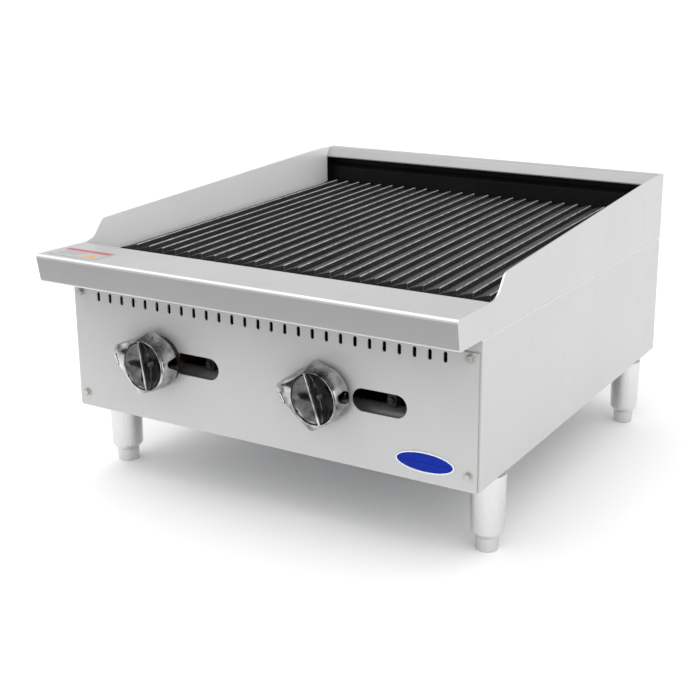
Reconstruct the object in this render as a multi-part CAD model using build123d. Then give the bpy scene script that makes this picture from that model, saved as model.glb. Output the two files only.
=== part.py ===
from build123d import *
import math
import os

# Two-burner countertop gas charbroiler. Millimetres, +X right, +Y to the back, +Z up.
# The pieces are drawn in a body frame: y = 0 is the front face of the control panel
# and z = 0 is the bottom of the body. write_nodes() then moves them to the part frame,
# whose origin is the middle of the footprint at the height of the worktop.

# --- driving dimensions -------------------------------------------------------------
BODY_WIDTH = 610.0          # over the side panels
BODY_DEPTH = 642.0          # control panel face to back panel face
SEAM_Z = 184.5              # bottom edge of the top shell, top of the side panels
SHELF_Z = 222.5             # front shelf surface
TOP_Z = 286.0               # rear top edge
LEG_HEIGHT = 100.0          # worktop to body bottom
INLET_REACH = 25.0          # gas inlet pipe behind the back panel

SHEET = 1.5                 # panel thickness
SHELL_SHEET = 2.0           # top shell thickness
LINER_SHEET = 1.2           # firebox liner thickness
HALF_WIDTH = BODY_WIDTH / 2
SHELL_INNER_X = HALF_WIDTH - SHELL_SHEET
FLANGE = 20.0               # inward flanges of the side panels

LIP_NOSE_Y = -59.0          # foremost point of the rounded nose
LIP_TOP_Y = -59.7           # its corner before rounding
LIP_BOTTOM_Y = -53.7
LIP_RETURN = 12.0
SHELF_BACK_Y = 25.0         # front edge of the cooking opening
SHELF_FLANGE = 19.0         # down-turned edge at the opening

SPLASH_FOOT_Y = 38.7        # side splash: corner at the shelf
SPLASH_KNEE = (58.5, 249.4)  # side splash: top of the steep run
SPLASH_TOP_Y = 588.0        # side splash: start of the level run

PANEL_TOP_Z = 168.5
PANEL_HALF_WIDTH = 302.5
PANEL_RETURN = 12.0
PANEL_FLANGE_HALF = 283.0
SLOT_COUNT = 27
SLOT_PITCH = 20.0
SLOT_SIZE = (5.0, 13.0)
SLOT_Z = 158.0
WINDOW_SIZE = (75.0, 29.0)
WINDOW_Z = 87.0
WINDOW_X = {"left": -101.0, "right": 173.0}
SCREW_X = 291.0
SCREW_Z = (19.5, 161.5)
BADGE_CENTRE = (235.0, 25.5)
BADGE_SIZE = (78.0, 26.0, 2.0)
LABEL_CENTRE = (-256.0, -29.0)
LABEL_SIZE = (81.0, 40.0, 0.3)

AXIS_Z = 88.0               # height of knobs, valves and burner mouths
KNOB_X = {"left": -157.0, "right": 99.0}
KNOB_TURN = {"left": -14.0, "right": -4.0}    # rest angle of the pointer about the stem
KNOB_BACK_Y = {"left": -11.5, "right": -6.5}  # the left knob stands further out on its stem
KNOB_DEPTH = 24.0
KNOB_RADIUS = 38.0          # round side of the teardrop, at its back
KNOB_TIP = 61.0             # sharp corner of the teardrop, before rounding
KNOB_TAPER = 8.0
KNOB_FACET = 17.0           # slope of the pointer side
FIN_TURN = 22.0             # lean of the grip fin against the pointer's square
BEZEL_RADIUS = 32.0
BEZEL_THICKNESS = {"left": 10.5, "right": 5.5}
STEM_RADIUS = 4.0

SIDE_SIGN = {"left": -1, "right": 1}
BURNER_CENTRE_X = 147.0
BURNER_SPACING = 62.0       # port tubes either side of the burner's middle
BURNER_TUBE_R = 17.0
BURNER_CROSS_Y = 128.0
BURNER_END_Y = 590.0
VENTURI_R = 14.0
VENTURI_MOUTH_Y = 64.0
SHUTTER_LENGTH = 18.0
MANIFOLD_Y = 36.0
MANIFOLD_Z = 60.0
PIPE_R = 13.35
PIPE_BORE_R = 10.5
THREAD_R = 13.0             # threaded end of the supply pipe
SUPPLY_X = 262.0
COLLAR_THICKNESS = 4.0

FIREWALL_Y = 88.0
LINER_HALF = 284.0          # firebox inside the side flanges
LINER_FOOT_Z = 45.0
LINER_TOP_Z = 203.0
REAR_LINER_Y = 629.0
REAR_STEP = (638.0, 257.0, 250.0)    # upper wall y, and the z range of the step
CAP_FRONT_Y = 612.0
CAP_BOTTOM_Z = 268.5

GRATE_PITCH = 22.5
GRATE_BARS = 13
GRATE_WIDTH = 292.5
GRATE_FRONT_Y = 90.0
GRATE_FRONT_Z = 211.0       # ridge height at the front end
GRATE_TILT = 2.45           # degrees, rising to the back
GRATE_LENGTH = 508.0
GRATE_DEPTH = 22.0
BAR_GAP = 2.0
BAR_DROP = 6.0              # step from one bar's ridge down to the next bar
RIDGE_FLAT = (0.9, 0.8)     # worn chamfer along the ridge, across and down
SLOT_START = 19.0           # widened start of each slot, behind the front edge
BAR_WEB = 7.0
GRATE_END = 26.0            # twice the depth of the strip that joins the bars at the rear
RIB_WIDTH = 9.0

RADIANT_Z = 150.0
RADIANT_HALF_TOP = 48.0
RADIANT_HALF_FOOT = 112.0
RADIANT_DROP = 26.0

LEG_X = 286.0
LEG_Y = {"front": 66.0, "rear": 562.0}
LEG_TOP_R = 22.4
LEG_BOTTOM_R = 20.6
LEG_LENGTH = 81.0
LEG_WALL = 1.6
FOOT_R = 15.0
FOOT_STUD_R = 6.0
FOOT_STUD_LENGTH = 56.0
LEG_STUD_R = 5.0

RUNNING_GAP = 0.3

FRONT_REACH = -LIP_NOSE_Y
REAR_REACH = BODY_DEPTH + INLET_REACH
PART_SHIFT = (0, (FRONT_REACH - REAR_REACH) / 2, LEG_HEIGHT)

SIDES = ("left", "right")
nodes = {}


# --- helpers ------------------------------------------------------------------------
def block(x_range, y_range, z_range):
    """A box between two corners."""
    size = [high - low for low, high in (x_range, y_range, z_range)]
    middle = [(high + low) / 2 for low, high in (x_range, y_range, z_range)]
    return Pos(*middle) * Box(*size)


def rod(start, direction, radius, length):
    """A cylinder that starts at a point and runs along a direction."""
    plane = Plane(origin=start, z_dir=direction)
    return extrude(plane * Circle(radius), length)


def tube(start, direction, radius, bore, length):
    """A pipe with an open bore."""
    return rod(start, direction, radius, length) - rod(start, direction, bore, length)


def bent_sheet(plane, corners, radii, thickness, length, side=Side.LEFT):
    """A folded sheet: its path is thickened to one side and run along the plane's normal."""
    with BuildPart() as folded:
        with BuildSketch(plane):
            with BuildLine():
                FilletPolyline(*corners, radius=radii)
                offset(amount=thickness, side=side)
            make_face()
        extrude(amount=length)
    return folded.part


def mirrored(shape):
    """The same shape on the other side of the body."""
    return mirror(shape, about=Plane.YZ)


def both(shape):
    """A shape and its mirror image."""
    return {"right": shape, "left": mirrored(shape)}


def obround(width, height):
    """A vertical or horizontal slot outline."""
    if width > height:
        return SlotOverall(width, height)
    return Rot(0, 0, 90) * SlotOverall(height, width)


def front_cut(x, z, outline, y_range=(-5.0, 10.0)):
    """A cutter that goes through the control panel."""
    plane = Plane(origin=(x, y_range[1], z), x_dir=(1, 0, 0), z_dir=(0, -1, 0))
    return extrude(plane * outline, y_range[1] - y_range[0])


# --- casing -------------------------------------------------------------------------
def splash_plate():
    """One side of the top shell: lip end, shelf end and side splash in one outline."""
    corners = [
        (LIP_BOTTOM_Y, SEAM_Z, 4.0),
        (LIP_TOP_Y, SHELF_Z, 4.5),
        (SPLASH_FOOT_Y, SHELF_Z, 27.0),
        (SPLASH_KNEE[0], SPLASH_KNEE[1], 14.0),
        (SPLASH_TOP_Y, TOP_Z, 900.0),
        (BODY_DEPTH, TOP_Z, 1.5),
        (BODY_DEPTH, SEAM_Z, 0.5),
    ]
    points = [(y, z) for y, z, _ in corners]
    radii = [r for _, _, r in corners]
    with BuildPart() as plate:
        with BuildSketch(Plane.YZ.offset(SHELL_INNER_X)):
            with BuildLine():
                FilletPolyline(*points, radius=radii, close=True)
            make_face()
        extrude(amount=SHELL_SHEET)
    return plate.part


def top_shell():
    """Front shelf, lip and both side splashes, folded and welded into one piece."""
    path = [
        (LIP_BOTTOM_Y + LIP_RETURN, SEAM_Z),
        (LIP_BOTTOM_Y, SEAM_Z),
        (LIP_TOP_Y, SHELF_Z),
        (SHELF_BACK_Y, SHELF_Z),
        (SHELF_BACK_Y, SHELF_Z - SHELF_FLANGE),
    ]
    plane = Plane.YZ.offset(-SHELL_INNER_X)
    shelf = bent_sheet(plane, list(reversed(path)), [3.0, 4.5, 4.0], SHELL_SHEET, 2 * SHELL_INNER_X)
    right = splash_plate()
    return shelf + right + mirrored(right)


def side_panel():
    """Lower right side: a sheet with top, bottom, front and rear flanges."""
    path = [
        (HALF_WIDTH - FLANGE, SEAM_Z),
        (HALF_WIDTH, SEAM_Z),
        (HALF_WIDTH, 0),
        (HALF_WIDTH - FLANGE, 0),
    ]
    plane = Plane(origin=(0, BODY_DEPTH - SHEET, 0), x_dir=(1, 0, 0), z_dir=(0, -1, 0))
    front_y = 2.0
    panel = bent_sheet(plane, list(reversed(path)), [2.5, 3.0], SHEET, BODY_DEPTH - SHEET - front_y)
    inner = (HALF_WIDTH - FLANGE, HALF_WIDTH - SHEET)
    panel += block(inner, (front_y, front_y + SHEET), (SHEET, SEAM_Z - SHEET))
    rear_y = BODY_DEPTH - 2 * SHEET
    panel += block(inner, (rear_y, rear_y + SHEET), (SHEET, SEAM_Z - SHEET))
    for z in SCREW_Z:
        panel -= rod((SCREW_X, 0, z), (0, 1, 0), 2.2, 6.0)
    for y in LEG_Y.values():
        panel -= rod((LEG_X, y, 0), (0, 0, 1), LEG_STUD_R + 0.5, 5.0)
    return panel


def bottom_panel():
    """Floor of the body, lying on the side panels' bottom flanges."""
    half = HALF_WIDTH - SHEET - 3.0
    floor = block((-half, half), (20.0, BODY_DEPTH - 2 * SHEET - 1.0), (SHEET, 2 * SHEET))
    for sign in (-1, 1):
        for y in LEG_Y.values():
            floor -= rod((sign * LEG_X, y, 0), (0, 0, 1), LEG_STUD_R + 0.5, 5.0)
    return floor


def back_panel():
    """Back of the body, behind the side panels' rear flanges, with the inlet hole."""
    half = SHELL_INNER_X
    panel = block((-half, half), (BODY_DEPTH - SHEET, BODY_DEPTH), (SEAM_Z, TOP_Z - SHEET - 0.5))
    panel += block((-HALF_WIDTH + 1, HALF_WIDTH - 1), (BODY_DEPTH - SHEET, BODY_DEPTH), (0, SEAM_Z))
    panel -= rod((SUPPLY_X, BODY_DEPTH - 5, MANIFOLD_Z), (0, 1, 0), PIPE_R + 1.5, 10.0)
    for x, z in back_screw_places():
        panel -= rod((x, BODY_DEPTH - 5, z), (0, 1, 0), 2.2, 10.0)
    return panel


def back_screw_places():
    """Screws along both rear flanges."""
    return [(sign * (HALF_WIDTH - FLANGE / 2), z) for sign in (-1, 1) for z in (25.0, 92.0, 160.0)]


def rear_cap():
    """Folded ledge across the back between the splashes."""
    path = [
        (BODY_DEPTH - SHEET, CAP_BOTTOM_Z),
        (BODY_DEPTH - SHEET, TOP_Z),
        (CAP_FRONT_Y + 10.0, TOP_Z),
        (CAP_FRONT_Y, CAP_BOTTOM_Z),
        (CAP_FRONT_Y + 8.0, CAP_BOTTOM_Z),
    ]
    plane = Plane.YZ.offset(-SHELL_INNER_X)
    width = 2 * SHELL_INNER_X
    return bent_sheet(plane, path, [2.5, 5.0, 2.0], SHEET, width, Side.RIGHT)


def control_panel():
    """Front panel with vent slots, two windows, and holes for stems and screws."""
    panel = block((-PANEL_HALF_WIDTH, PANEL_HALF_WIDTH), (0, SHEET), (0.5, PANEL_TOP_Z))
    corners = panel.edges().filter_by(Axis.Y).group_by(Axis.Z)[0]
    panel = fillet(corners, 3.5)
    half = PANEL_FLANGE_HALF
    panel += block((-half, half), (SHEET, PANEL_RETURN), (PANEL_TOP_Z - SHEET, PANEL_TOP_Z))
    panel += block((-half, half), (SHEET, PANEL_RETURN), (0.5, 0.5 + SHEET))
    first = -SLOT_PITCH * (SLOT_COUNT - 1) / 2
    slot = obround(*SLOT_SIZE)
    cutters = [front_cut(first + SLOT_PITCH * k, SLOT_Z, slot) for k in range(SLOT_COUNT)]
    cutters += [front_cut(x, WINDOW_Z, obround(*WINDOW_SIZE)) for x in WINDOW_X.values()]
    cutters += [front_cut(x, AXIS_Z, Circle(STEM_RADIUS + 2.0)) for x in KNOB_X.values()]
    cutters += [front_cut(sign * SCREW_X, z, Circle(2.2)) for sign in (-1, 1) for z in SCREW_Z]
    return panel - cutters


def inner_apron():
    """Upright strip between the control panel and the shelf."""
    half = PANEL_FLANGE_HALF
    y = (PANEL_RETURN - SHEET, PANEL_RETURN)
    return block((-half, half), y, (PANEL_TOP_Z, SHELF_Z - SHELL_SHEET))


def badge():
    """Blank oval plate."""
    plane = Plane(origin=(BADGE_CENTRE[0], 0, BADGE_CENTRE[1]), x_dir=(1, 0, 0), z_dir=(0, -1, 0))
    plate = extrude(plane * Ellipse(BADGE_SIZE[0] / 2, BADGE_SIZE[1] / 2), BADGE_SIZE[2])
    return fillet(plate.edges().group_by(Axis.Y)[0], 0.8)


def shelf_label():
    """Thin rectangular sticker on the shelf."""
    label = Box(*LABEL_SIZE)
    return Pos(*LABEL_CENTRE, SHELF_Z + LABEL_SIZE[2] / 2) * label


def screw_places():
    """Corners of the control panel."""
    return [(sign * SCREW_X, z) for sign in (-1, 1) for z in SCREW_Z]


def panel_screws():
    """Four hexagon screws that hold the control panel."""
    head_height = 4.0
    screws = []
    for x, z in screw_places():
        plane = Plane(origin=(x, -0.8, z), x_dir=(1, 0, 0), z_dir=(0, -1, 0))
        head = extrude(plane * RegularPolygon(4.4, 6), head_height)
        head = fillet(head.edges().group_by(Axis.Y)[0], 0.6)
        screws.append(head + rod((x, -0.8, z), (0, 1, 0), 2.1, 8.0))
    return screws


def panel_washers():
    """Washers under the panel screws."""
    return [tube((x, 0, z), (0, -1, 0), 5.8, 2.3, 0.8) for x, z in screw_places()]


def back_screws():
    """Pan-head screws in the back panel."""
    screws = []
    for x, z in back_screw_places():
        head = rod((x, BODY_DEPTH, z), (0, 1, 0), 4.2, 2.4)
        head = fillet(head.edges().group_by(Axis.Y)[-1], 1.5)
        screws.append(head + rod((x, BODY_DEPTH, z), (0, -1, 0), 2.1, 1.5))
    return screws


# --- firebox ------------------------------------------------------------------------
def firebox_side():
    """Right liner: stands inside the side flanges and opens out under the splash."""
    path = [
        (LINER_HALF, LINER_FOOT_Z),
        (LINER_HALF, SEAM_Z + 0.8),
        (SHELL_INNER_X, SEAM_Z + 2.6),
        (SHELL_INNER_X, LINER_TOP_Z),
    ]
    start = FIREWALL_Y + LINER_SHEET
    plane = Plane(origin=(0, REAR_LINER_Y - LINER_SHEET, 0), x_dir=(1, 0, 0), z_dir=(0, -1, 0))
    length = REAR_LINER_Y - LINER_SHEET - start
    return bent_sheet(plane, path, [1.5, 1.5], LINER_SHEET, length)


def firebox_front():
    """Front liner: hangs behind the shelf flange and steps back to the firewall."""
    path = [
        (SHELF_BACK_Y, SHELF_Z - SHELF_FLANGE - 14.0),
        (FIREWALL_Y, SEAM_Z - 3.0),
        (FIREWALL_Y, LINER_FOOT_Z),
    ]
    plane = Plane.YZ.offset(-LINER_HALF + LINER_SHEET)
    width = 2 * (LINER_HALF - LINER_SHEET)
    wall = bent_sheet(plane, list(reversed(path)), [3.0], LINER_SHEET, width)
    y = (SHELF_BACK_Y, SHELF_BACK_Y + LINER_SHEET)
    wall += block((-SHELL_INNER_X + 1, SHELL_INNER_X - 1), y, (SHELF_Z - SHELF_FLANGE - 15.5, SHELF_Z - 6.0))
    for side in SIDES:
        wall -= rod((KNOB_X[side], FIREWALL_Y - 10, AXIS_Z), (0, 1, 0), VENTURI_R + 1.0, 20.0)
        wall -= rod((WINDOW_X[side], FIREWALL_Y - 10, AXIS_Z + 8), (0, 1, 0), 4.0, 20.0)
    wall -= rod((SUPPLY_X, FIREWALL_Y - 10, MANIFOLD_Z), (0, 1, 0), PIPE_R + 1.0, 20.0)
    return wall


def firebox_rear():
    """Rear liner with its stepped upper wall and the black cheeks under the cap."""
    path = [
        (REAR_LINER_Y, LINER_FOOT_Z),
        (REAR_LINER_Y, REAR_STEP[2]),
        (REAR_STEP[0], REAR_STEP[1]),
        (REAR_STEP[0], TOP_Z - 6.0),
    ]
    half = LINER_HALF - LINER_SHEET
    plane = Plane.YZ.offset(-half)
    wall = bent_sheet(plane, path, [2.0, 2.0], LINER_SHEET, 2 * half)
    for sign in (-1, 1):
        outer = sorted((sign * half, sign * (SHELL_INNER_X - LINER_SHEET)))
        upper = bent_sheet(Plane.YZ.offset(outer[0]), path, [2.0, 2.0], LINER_SHEET, outer[1] - outer[0])
        wall += upper & block(outer, (600, 640), (SEAM_Z + 8.0, TOP_Z))
        cheek = sorted((sign * (SHELL_INNER_X - LINER_SHEET), sign * SHELL_INNER_X))
        wall += block(cheek, (CAP_FRONT_Y + 1.0, REAR_STEP[0]), (LINER_TOP_Z + 2.0, CAP_BOTTOM_Z - 0.5))
    wall -= rod((SUPPLY_X, REAR_LINER_Y - 10, MANIFOLD_Z), (0, 1, 0), PIPE_R + 1.0, 20.0)
    return wall


def drip_pan():
    """Shallow pan on the floor under the burners."""
    half = 238.0
    y = (96.0, 584.0)
    z = (2 * SHEET, 36.0)
    pan = block((-half, half), y, z)
    hollow = block((-half + SHEET, half - SHEET), (y[0] + SHEET, y[1] - SHEET), (z[0] + SHEET, z[1] + 1))
    rim = block((-half - 7, half + 7), (y[0] - 6, y[1] + 6), (z[1] - SHEET, z[1]))
    return pan + rim - hollow


def grate_line_z(y, below):
    """Height below the ridge plane of the tilted grates at a depth y."""
    rise = (y - GRATE_FRONT_Y) * math.tan(math.radians(GRATE_TILT))
    return GRATE_FRONT_Z + rise - below


def grate_rail(y, half):
    """Square bar across the firebox that carries the grates."""
    top = grate_line_z(y, GRATE_DEPTH + 1.0)
    bar = block((-half, half), (y, y + 10.0), (top - 9.0, top))
    return fillet(bar.edges().filter_by(Axis.X), 1.0)


def rear_comb():
    """Cast strip behind the grates with a round bump behind every bar."""
    y = GRATE_FRONT_Y + GRATE_LENGTH + 4.0
    top = 226.0
    half = SHELL_INNER_X - LINER_SHEET - 1.0
    strip = block((-half, half), (y, y + 8.0), (top - 12.0, top))
    bumps = []
    for sign in (-1, 1):
        for k in range(GRATE_BARS):
            x = sign * 1.5 + sign * GRATE_PITCH * (k + 0.5) * GRATE_WIDTH / (GRATE_BARS * GRATE_PITCH)
            bumps.append(rod((x, y, top - 2.0), (0, 1, 0), 6.0, 8.0))
    return strip + bumps


def radiant_rail(y):
    """Angle bar that carries the radiants' ends."""
    foot = RADIANT_Z - RADIANT_DROP - 1.8
    half = LINER_HALF - LINER_SHEET - 0.2
    upright = block((-half, half), (y, y + 2.0), (foot - 12.0, foot - 0.3))
    ledge = block((-half, half), (y, y + 14.0), (foot - 2.3, foot - 0.3))
    return upright + ledge


# --- cooking grates and radiants ----------------------------------------------------
def bar_section(left, right):
    """Cross-section of one bar: a sloping top that ends in a ridge, on a deep web."""
    return [
        (left, -BAR_DROP),
        (right - RIDGE_FLAT[0], 0),
        (right, -RIDGE_FLAT[1]),
        (right, -GRATE_DEPTH + 12.0),
        (right - 2.0, -GRATE_DEPTH),
        (right - 2.0 - BAR_WEB, -GRATE_DEPTH),
        (left, -BAR_DROP - 4.0),
    ]


def grate_bars():
    """Left and right limits of each bar across one casting."""
    edge = GRATE_WIDTH - GRATE_PITCH * (GRATE_BARS - 1)
    limits = [(0.0, edge)]
    for k in range(1, GRATE_BARS):
        right = edge + GRATE_PITCH * k
        limits.append((right - GRATE_PITCH + BAR_GAP, right))
    return limits


def grate_bar(left, right):
    """One bar over the length of the casting."""
    plane = Plane(origin=(0, 0, 0), x_dir=(1, 0, 0), z_dir=(0, -1, 0))
    return extrude(plane * make_face(Polyline(*bar_section(left, right), close=True)), -GRATE_LENGTH)


def grate():
    """One grate casting, lying flat with its front left ridge corner at the origin."""
    bars = [grate_bar(left, right) for left, right in grate_bars()]
    rib_z = (-GRATE_DEPTH, -BAR_DROP - 4.0)
    ribs = [block((0, GRATE_WIDTH), (0, SLOT_START), (-GRATE_DEPTH, -BAR_DROP - 1.0))]
    rear = GRATE_LENGTH - GRATE_END / 2
    ribs.append(block((0, GRATE_WIDTH), (rear, GRATE_LENGTH), (-GRATE_DEPTH, -BAR_DROP - 2.0)))
    for k in range(1, 5):
        y = GRATE_LENGTH * k / 5
        ribs.append(block((0, GRATE_WIDTH), (y - RIB_WIDTH / 2, y + RIB_WIDTH / 2), rib_z))
    casting = bars[0] + bars[1:] + ribs
    notches = []
    for left, right in grate_bars()[1:]:
        groove = left - BAR_GAP / 2
        notches.append(rod((groove, -1, -BAR_DROP - 7.0), (0, 1, 0), 2.4, 9.0))
        notches.append(rod((groove + 0.6, SLOT_START, -BAR_DROP - 10.0), (0, 0, 1), 2.6, 12.0))
    return casting - notches


def placed_grate(start_x):
    """A grate casting at its place and slope."""
    return Pos(start_x, GRATE_FRONT_Y, GRATE_FRONT_Z) * Rot(GRATE_TILT, 0, 0) * grate()


def radiant(side):
    """Folded heat-spreading roof over one burner, slotted on both slopes."""
    top, foot = RADIANT_HALF_TOP, RADIANT_HALF_FOOT
    path = [(-foot, -RADIANT_DROP), (-top, 0), (top, 0), (foot, -RADIANT_DROP)]
    start_y = FIREWALL_Y + LINER_SHEET + 3.0
    length = REAR_LINER_Y - LINER_SHEET - 3.0 - start_y
    centre_x = SIDE_SIGN[side] * BURNER_CENTRE_X
    plane = Plane(origin=(centre_x, start_y + length, RADIANT_Z), x_dir=(1, 0, 0), z_dir=(0, -1, 0))
    roof = bent_sheet(plane, list(reversed(path)), [6.0, 6.0], 1.6, length)
    cutters = []
    for sign in (-1, 1):
        for k in range(9):
            y = start_y + length * (k + 1) / 10
            x = centre_x + sign * (top + foot) / 2
            z = (RADIANT_Z - 40.0, RADIANT_Z + 5.0)
            cutters.append(block((x - 18.0, x + 18.0), (y - 5.0, y + 5.0), z))
    return roof - cutters


# --- gas train ----------------------------------------------------------------------
def burner(side):
    """U-shaped tube burner: mixing tube, cross tube and two port tubes."""
    middle = SIDE_SIGN[side] * BURNER_CENTRE_X
    xs = (middle - BURNER_SPACING, middle + BURNER_SPACING)
    bore = BURNER_TUBE_R - 1.5
    length = BURNER_END_Y - BURNER_CROSS_Y
    start = (xs[0] - BURNER_TUBE_R - 5.0, BURNER_CROSS_Y, AXIS_Z)
    width = xs[1] - xs[0] + 2 * BURNER_TUBE_R + 10.0
    mixer_length = BURNER_CROSS_Y - VENTURI_MOUTH_Y
    outer = rod(start, (1, 0, 0), BURNER_TUBE_R, width)
    outer += rod((KNOB_X[side], VENTURI_MOUTH_Y, AXIS_Z), (0, 1, 0), VENTURI_R, mixer_length)
    inner = rod((start[0] + 1.5, *start[1:]), (1, 0, 0), bore, width - 3.0)
    inner += rod((KNOB_X[side], VENTURI_MOUTH_Y, AXIS_Z), (0, 1, 0), VENTURI_R - 1.5, mixer_length)
    ports = []
    for x in xs:
        outer += rod((x, BURNER_CROSS_Y, AXIS_Z), (0, 1, 0), BURNER_TUBE_R, length)
        inner += rod((x, BURNER_CROSS_Y, AXIS_Z), (0, 1, 0), bore, length - 1.5)
        outer += block((x - 9, x + 9), (BURNER_END_Y, BURNER_END_Y + 22.0), (AXIS_Z - 3, AXIS_Z))
        for k in range(22):
            y = BURNER_CROSS_Y + 30.0 + k * 19.0
            for lean in (-1, 1):
                ports.append(rod((x, y, AXIS_Z), (lean, 0, 1), 1.5, BURNER_TUBE_R + 2))
    return outer - inner - ports


def burner_rest():
    """Cross bar that carries the burners' rear tabs."""
    half = LINER_HALF - LINER_SHEET - 0.2
    y = BURNER_END_Y + 4.0
    top = AXIS_Z - 3.0
    bar = block((-half, half), (y, y + 18.0), (top - 2.0, top))
    bar += block((-half, half), (y + 16.0, y + 18.0), (top - 24.0, top))
    return bar - rod((SUPPLY_X, y, MANIFOLD_Z), (0, 1, 0), PIPE_R + 1.0, 30.0)


def air_shutter(side):
    """Turning sleeve with two windows around the mixing tube's mouth."""
    origin = (KNOB_X[side], VENTURI_MOUTH_Y + 1.0, AXIS_Z)
    bore = VENTURI_R + RUNNING_GAP
    sleeve = tube(origin, (0, 1, 0), bore + 1.5, bore, SHUTTER_LENGTH)
    y = (origin[1] + 5.0, origin[1] + 14.0)
    return sleeve - block((origin[0] - 30, origin[0] + 30), y, (AXIS_Z - 6.0, AXIS_Z + 6.0))


def manifold():
    """Gas manifold across the front with its left end plug and right elbow."""
    start_x = -240.0
    pipe = rod((start_x, MANIFOLD_Y, MANIFOLD_Z), (1, 0, 0), PIPE_R, SUPPLY_X - start_x)
    plane = Plane(origin=(start_x, MANIFOLD_Y, MANIFOLD_Z), x_dir=(0, 1, 0), z_dir=(-1, 0, 0))
    plug = extrude(plane * RegularPolygon(16.0, 6), 10.0)
    elbow = Pos(SUPPLY_X, MANIFOLD_Y, MANIFOLD_Z) * Sphere(17.0)
    elbow += rod((SUPPLY_X, MANIFOLD_Y, MANIFOLD_Z), (-1, 0, 0), 17.0, 22.0)
    elbow += rod((SUPPLY_X, MANIFOLD_Y, MANIFOLD_Z), (0, 1, 0), 17.0, 22.0)
    bore = rod((start_x + 8, MANIFOLD_Y, MANIFOLD_Z), (1, 0, 0), PIPE_BORE_R, SUPPLY_X - start_x - 8)
    bore += rod((SUPPLY_X, MANIFOLD_Y, MANIFOLD_Z), (0, 1, 0), PIPE_BORE_R, 22.0)
    bore += Pos(SUPPLY_X, MANIFOLD_Y, MANIFOLD_Z) * Sphere(PIPE_BORE_R)
    return pipe + plug + elbow - bore


def supply_pipe():
    """Pipe from the elbow to the inlet behind the back panel, with its threaded end turned down."""
    start_y = MANIFOLD_Y + 22.0
    shoulder_y = BODY_DEPTH + COLLAR_THICKNESS
    pipe = rod((SUPPLY_X, start_y, MANIFOLD_Z), (0, 1, 0), PIPE_R, shoulder_y - start_y)
    pipe += rod((SUPPLY_X, shoulder_y, MANIFOLD_Z), (0, 1, 0), THREAD_R, REAR_REACH - shoulder_y)
    return pipe - rod((SUPPLY_X, start_y, MANIFOLD_Z), (0, 1, 0), PIPE_BORE_R, REAR_REACH - start_y)


def inlet_collar():
    """Locking ring that holds the supply pipe in the back panel."""
    plane = Plane(origin=(SUPPLY_X, BODY_DEPTH, MANIFOLD_Z), x_dir=(1, 0, 0), z_dir=(0, 1, 0))
    ring = extrude(plane * RegularPolygon(21.0, 6), COLLAR_THICKNESS)
    return ring - rod((SUPPLY_X, BODY_DEPTH, MANIFOLD_Z), (0, 1, 0), PIPE_R, COLLAR_THICKNESS)


def burner_valve(side):
    """Gas valve body on top of the manifold, with the bore for its stem."""
    x = KNOB_X[side]
    body = block((x - 13, x + 13), (22.0, 50.0), (AXIS_Z - 12.0, AXIS_Z + 12.0))
    body = fillet(body.edges().filter_by(Axis.Y), 4.0)
    body += rod((x, 22.0, AXIS_Z), (0, -1, 0), 9.0, 6.0)
    body += rod((x, MANIFOLD_Y, MANIFOLD_Z), (0, 0, 1), 8.0, 20.0)
    body -= rod((x - 20, MANIFOLD_Y, MANIFOLD_Z), (1, 0, 0), PIPE_R, 40.0)
    return body - rod((x, 10.0, AXIS_Z), (0, 1, 0), STEM_RADIUS + 0.08, 26.0)


def orifice(side):
    """Brass spud that points into the mixing tube."""
    x = KNOB_X[side]
    plane = Plane(origin=(x, 50.0, AXIS_Z), x_dir=(1, 0, 0), z_dir=(0, 1, 0))
    spud = extrude(plane * RegularPolygon(8.0, 6), 8.0)
    spud += rod((x, 58.0, AXIS_Z), (0, 1, 0), 5.0, 10.0)
    return spud - rod((x, 49.0, AXIS_Z), (0, 1, 0), 1.2, 20.0)


def valve_stem(side):
    """Stem with a flat, from the valve to the knob."""
    x = KNOB_X[side]
    front = KNOB_BACK_Y[side] - 16.0
    stem = rod((x, front, AXIS_Z), (0, 1, 0), STEM_RADIUS, 34.0 - front)
    flat = block((x - 6, x + 6), (front, front + 18.0), (AXIS_Z + 2.6, AXIS_Z + 6.0))
    return stem - flat


def pilot_valve(side):
    """Small pilot valve on the manifold, behind the window, with its slotted adjuster."""
    x = WINDOW_X[side]
    body = block((x - 6, x + 6), (MANIFOLD_Y - 6, MANIFOLD_Y + 6), (MANIFOLD_Z + 10, AXIS_Z + 1.0))
    adjuster = rod((x, MANIFOLD_Y - 6, AXIS_Z - 6), (0, -1, 0), 4.0, 5.0)
    groove = block((x - 5, x + 5), (MANIFOLD_Y - 12, MANIFOLD_Y - 9.5), (AXIS_Z - 6.6, AXIS_Z - 5.4))
    body -= rod((x - 20, MANIFOLD_Y, MANIFOLD_Z), (1, 0, 0), PIPE_R, 40.0)
    return body + adjuster - groove


def pilot_tube(side):
    """Thin tube from the pilot valve through the firewall."""
    x = WINDOW_X[side]
    z = AXIS_Z + 8.0
    riser_top = AXIS_Z + 1.0
    with BuildPart() as bent:
        with BuildLine() as path:
            FilletPolyline((x, MANIFOLD_Y, riser_top), (x, MANIFOLD_Y, z), (x, 96.0, z), radius=5.0)
        with BuildSketch(Plane(origin=(x, MANIFOLD_Y, riser_top), z_dir=(0, 0, 1))):
            Circle(3.0)
        sweep(path=path.wires()[0])
    return bent.part


def pilot_tip(side):
    """Pilot burner head beside the cross tube."""
    x = WINDOW_X[side]
    z = AXIS_Z + 8.0
    head = block((x - 6, x + 6), (96.0, 106.0), (z - 6, z + 10))
    return head - rod((x, 101.0, z + 2), (0, 0, 1), 3.0, 10.0)


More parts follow.
